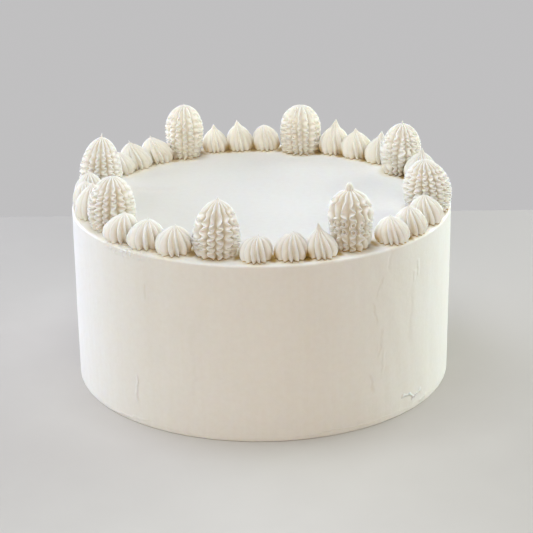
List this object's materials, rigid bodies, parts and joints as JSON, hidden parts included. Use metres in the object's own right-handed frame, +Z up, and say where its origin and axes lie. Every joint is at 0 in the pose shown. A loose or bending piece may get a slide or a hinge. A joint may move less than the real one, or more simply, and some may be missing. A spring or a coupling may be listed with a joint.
{
  "type": "layer cake",
  "caption": "Round layer cake under smooth white frosting, with tall ruffled mounds and small star drops of frosting piped round the top edge.",
  "frame": {"origin": "middle of the cake's flat foot, on the surface it stands on", "axes": "+Z up, -Y to the side that the picture shows, +X to that side's right"},
  "size_m": [0.228, 0.228, 0.1438],
  "materials": {
    "smooth_frosting": "satin, scraped smooth",
    "piped_frosting": "satin, ribbed by the piping nozzle"
  },
  "bodies": {
    "root": {"frosted_cake": "smooth_frosting", "ruffled_mound_1": "piped_frosting", "ruffled_mound_2": "piped_frosting", "ruffled_mound_3": "piped_frosting", "ruffled_mound_4": "piped_frosting", "ruffled_mound_5": "piped_frosting", "ruffled_mound_6": "piped_frosting", "ruffled_mound_7": "piped_frosting", "ruffled_mound_8": "piped_frosting", "star_drop_01": "piped_frosting", "star_drop_02": "piped_frosting", "star_drop_03": "piped_frosting", "star_drop_04": "piped_frosting", "star_drop_05": "piped_frosting", "star_drop_06": "piped_frosting", "star_drop_07": "piped_frosting", "star_drop_08": "piped_frosting", "star_drop_09": "piped_frosting", "star_drop_10": "piped_frosting", "star_drop_11": "piped_frosting", "star_drop_12": "piped_frosting", "star_drop_13": "piped_frosting", "star_drop_14": "piped_frosting", "star_drop_15": "piped_frosting", "star_drop_16": "piped_frosting", "star_drop_17": "piped_frosting", "star_drop_18": "piped_frosting", "star_drop_19": "piped_frosting", "star_drop_20": "piped_frosting", "star_drop_21": "piped_frosting", "star_drop_22": "piped_frosting", "star_drop_23": "piped_frosting", "star_drop_24": "piped_frosting"}
  },
  "joints": []
}
